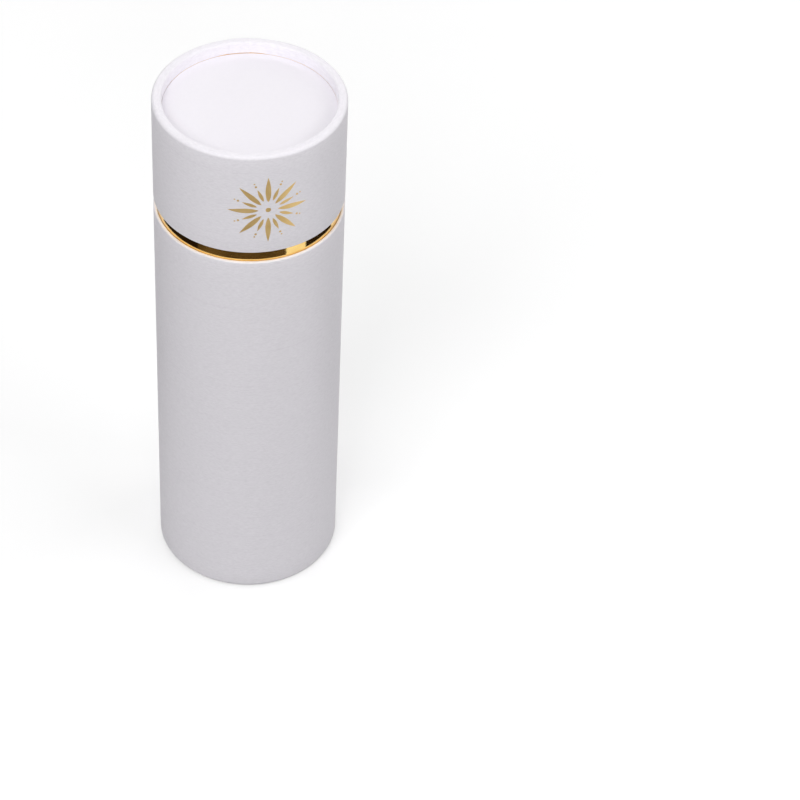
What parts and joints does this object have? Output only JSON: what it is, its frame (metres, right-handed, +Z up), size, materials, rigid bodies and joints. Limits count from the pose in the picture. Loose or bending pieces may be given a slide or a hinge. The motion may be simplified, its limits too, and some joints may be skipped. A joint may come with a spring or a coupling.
{
  "type": "cylindrical gift tube box",
  "caption": "Round paper-covered gift tube box: a lid slides over a gold foil neck that projects from the base, with recessed discs at both ends.",
  "frame": {"origin": "centre of the underside of the base, on the surface it stands on", "axes": "+Z up along the tube's axis, from the base to the lid; -Y is the front, where the foil rosette is printed"},
  "size_m": [0.065, 0.065, 0.2005],
  "materials": {
    "white_paper": "matte",
    "greyboard": "matte",
    "liner_card": "matte",
    "gold_foil_paper": "gloss"
  },
  "bodies": {
    "base": {"base_shell_tube": "greyboard", "base_wrap_paper": "white_paper", "neck_tube": "greyboard", "neck_foil_paper": "gold_foil_paper", "neck_lining_foil": "gold_foil_paper", "base_disc_board": "greyboard", "base_disc_paper": "white_paper", "base_floor_card": "liner_card"},
    "lid": {"lid_shell_tube": "greyboard", "lid_wrap_paper": "white_paper", "lid_collar_tube": "greyboard", "lid_lining_foil": "gold_foil_paper", "lid_disc_board": "greyboard", "lid_disc_paper": "white_paper", "lid_ceiling_card": "liner_card"}
  },
  "joints": [
    {"name": "lid_lift", "type": "slide", "parent": "base", "child": "lid", "axis": [0, 0, 1], "range_m": [0, 0.18]}
  ]
}
